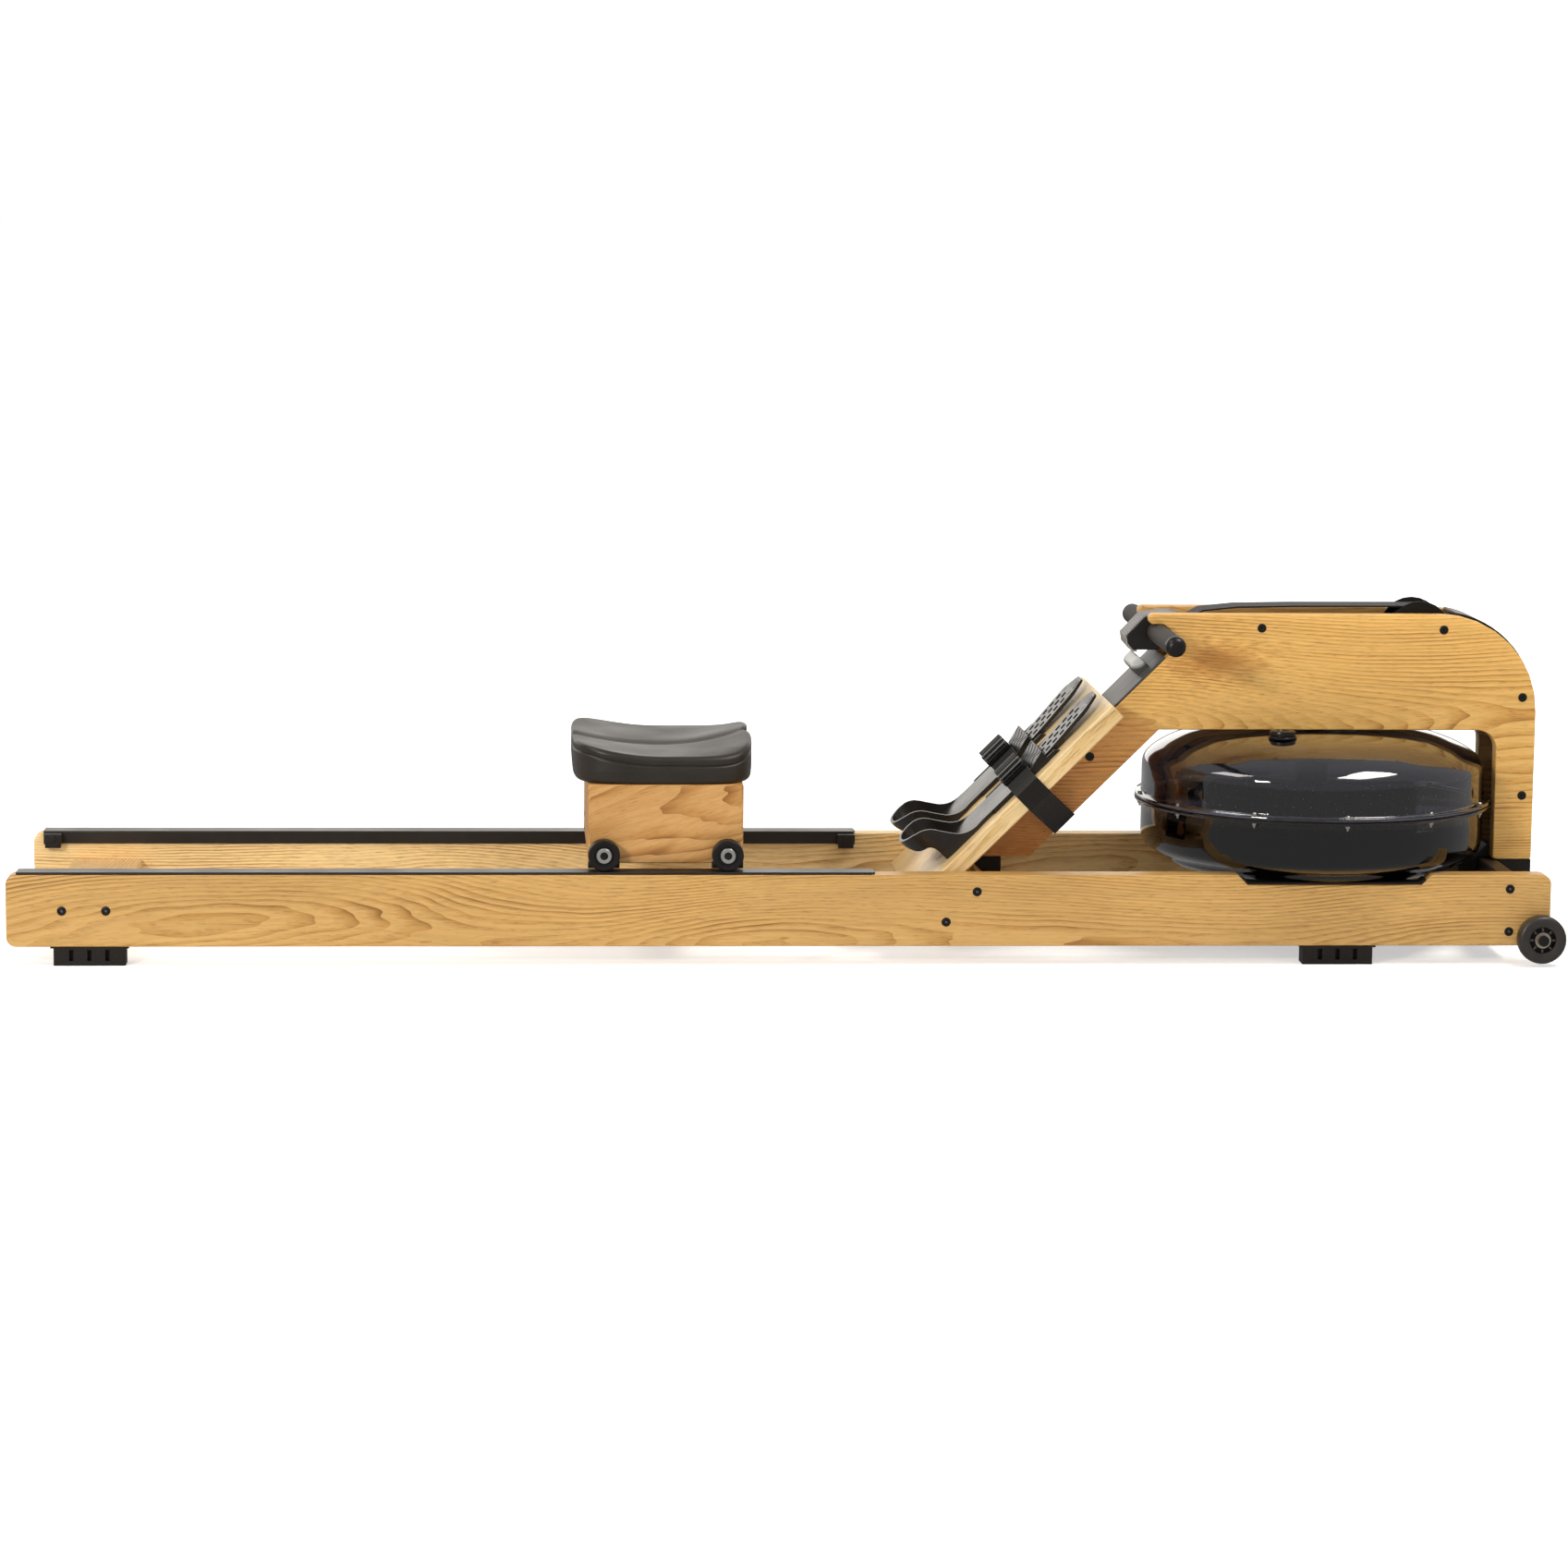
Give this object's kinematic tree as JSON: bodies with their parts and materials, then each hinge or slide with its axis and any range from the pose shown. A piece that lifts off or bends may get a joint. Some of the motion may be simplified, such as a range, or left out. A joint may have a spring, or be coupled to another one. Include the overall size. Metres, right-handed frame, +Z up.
{
  "type": "water rowing machine",
  "caption": "Wooden rowing machine with a sliding seat, adjustable foot plates, a strap handle and a clear water tank with a paddle.",
  "frame": {"origin": "middle of the base, on the floor", "axes": "+X along the rails towards the tank, +Y towards the rower's left, +Z up"},
  "size_m": [2.1184, 0.497, 0.4829],
  "materials": {
    "oak": "clear satin oil on oak",
    "pale_oak": "clear satin oil on pale oak",
    "dark_plastic": "satin moulded black",
    "rubber": "matt black",
    "black_steel": "black coated steel",
    "black_alloy": "dark anodised",
    "bright_steel": "bright",
    "webbing": "woven black webbing",
    "grey_webbing": "woven grey webbing",
    "smoked_plastic": "clear smoked plastic",
    "seat_foam": "moulded black foam skin"
  },
  "bodies": {
    "frame": {"rail_right": "oak", "rail_left": "oak", "deck_panel_right": "oak", "deck_panel_left": "oak", "rear_cross_member": "pale_oak", "middle_cross_member": "pale_oak", "front_cross_member": "pale_oak", "footboard": "pale_oak", "tank_liner_right": "rubber", "tank_liner_left": "rubber", "foot_rear_right": "rubber", "foot_rear_left": "rubber", "foot_front_right": "rubber", "foot_front_left": "rubber", "tank_gasket": "rubber", "track_right": "black_alloy", "track_left": "black_alloy", "rear_leg_bracket": "black_steel", "front_leg_bracket": "black_steel", "bearing_plate": "black_steel", "wheel_axle_right": "bright_steel", "wheel_axle_left": "bright_steel", "deck_spacer_upper": "bright_steel", "deck_spacer_lower": "bright_steel", "deck_spacer_rear": "bright_steel", "pulley_axle": "bright_steel", "slope_cover": "dark_plastic", "back_cover": "dark_plastic", "foot_bridge_right": "dark_plastic", "foot_bridge_left": "dark_plastic", "buckle_right": "dark_plastic", "buckle_left": "dark_plastic", "front_roller": "dark_plastic", "cord_roller": "dark_plastic", "fill_plug": "dark_plastic", "foot_strap": "webbing", "recoil_cord": "webbing", "pull_strap": "grey_webbing", "tank_upper_shell": "smoked_plastic", "tank_lower_shell": "smoked_plastic"},
    "seat": {"seat_pad": "seat_foam", "seat_block": "oak", "seat_axle_rear": "bright_steel", "seat_axle_front": "bright_steel"},
    "seat_roller_rear_right_body": {"seat_roller_rear_right": "rubber"},
    "seat_roller_rear_left_body": {"seat_roller_rear_left": "rubber"},
    "seat_roller_front_right_body": {"seat_roller_front_right": "rubber"},
    "seat_roller_front_left_body": {"seat_roller_front_left": "rubber"},
    "handle": {"handle_bar": "bright_steel", "grip_right": "rubber", "grip_left": "rubber", "handle_yoke": "dark_plastic"},
    "pulley_body": {"deck_pulley": "dark_plastic"},
    "drum_body": {"strap_drum": "dark_plastic"},
    "paddle_body": {"paddle": "smoked_plastic", "drive_shaft": "bright_steel"},
    "wheel_right_body": {"transport_wheel_right": "rubber"},
    "wheel_left_body": {"transport_wheel_left": "rubber"},
    "foot_plate_right_body": {"foot_plate_right": "dark_plastic"},
    "foot_plate_left_body": {"foot_plate_left": "dark_plastic"}
  },
  "joints": [
    {"name": "seat_slide", "type": "slide", "parent": "frame", "child": "seat", "axis": [1, 0, 0], "range_m": [-0.725, 0.145]},
    {"name": "handle_pull", "type": "slide", "parent": "frame", "child": "handle", "axis": [-1, 0, 0], "range_m": [0, 1.1], "deforming": ["pull_strap"]},
    {"name": "pulley_spin", "type": "hinge", "parent": "frame", "child": "pulley_body", "pos_m": [0.88175, 0, 0.4382], "axis": [0, 1, 0], "continuous": true},
    {"name": "drum_spin", "type": "hinge", "parent": "frame", "child": "drum_body", "pos_m": [0.74175, 0, 0.4], "axis": [0, 0, 1], "continuous": true},
    {"name": "paddle_spin", "type": "hinge", "parent": "frame", "child": "paddle_body", "pos_m": [0.74175, 0, 0.2], "axis": [0, 0, 1], "continuous": true},
    {"name": "wheel_right_spin", "type": "hinge", "parent": "frame", "child": "wheel_right_body", "pos_m": [1.02605, -0.215, 0.0373], "axis": [0, 1, 0], "continuous": true},
    {"name": "wheel_left_spin", "type": "hinge", "parent": "frame", "child": "wheel_left_body", "pos_m": [1.02605, 0.215, 0.0373], "axis": [0, 1, 0], "continuous": true},
    {"name": "foot_plate_right_slide", "type": "slide", "parent": "frame", "child": "foot_plate_right_body", "axis": [0.7071, 0, 0.7071], "range_m": [-0.029, 0.0145]},
    {"name": "foot_plate_left_slide", "type": "slide", "parent": "frame", "child": "foot_plate_left_body", "axis": [0.7071, 0, 0.7071], "range_m": [-0.029, 0.0145]},
    {"name": "roller_rear_right_spin", "type": "hinge", "parent": "seat", "child": "seat_roller_rear_right_body", "pos_m": [-0.25625, -0.184, 0.149], "axis": [0, 1, 0], "continuous": true},
    {"name": "roller_rear_left_spin", "type": "hinge", "parent": "seat", "child": "seat_roller_rear_left_body", "pos_m": [-0.25625, 0.184, 0.149], "axis": [0, 1, 0], "continuous": true},
    {"name": "roller_front_right_spin", "type": "hinge", "parent": "seat", "child": "seat_roller_front_right_body", "pos_m": [-0.08825, -0.184, 0.149], "axis": [0, 1, 0], "continuous": true},
    {"name": "roller_front_left_spin", "type": "hinge", "parent": "seat", "child": "seat_roller_front_left_body", "pos_m": [-0.08825, 0.184, 0.149], "axis": [0, 1, 0], "continuous": true}
  ],
  "couplings": [
    {"joint": "roller_rear_right_spin", "follows": "seat_slide", "rad_per_m": 46.512},
    {"joint": "roller_rear_left_spin", "follows": "seat_slide", "rad_per_m": 46.512},
    {"joint": "roller_front_right_spin", "follows": "seat_slide", "rad_per_m": 46.512},
    {"joint": "roller_front_left_spin", "follows": "seat_slide", "rad_per_m": 46.512},
    {"joint": "pulley_spin", "follows": "handle_pull", "rad_per_m": -27.1},
    {"joint": "drum_spin", "follows": "handle_pull", "rad_per_m": -26.667}
  ]
}
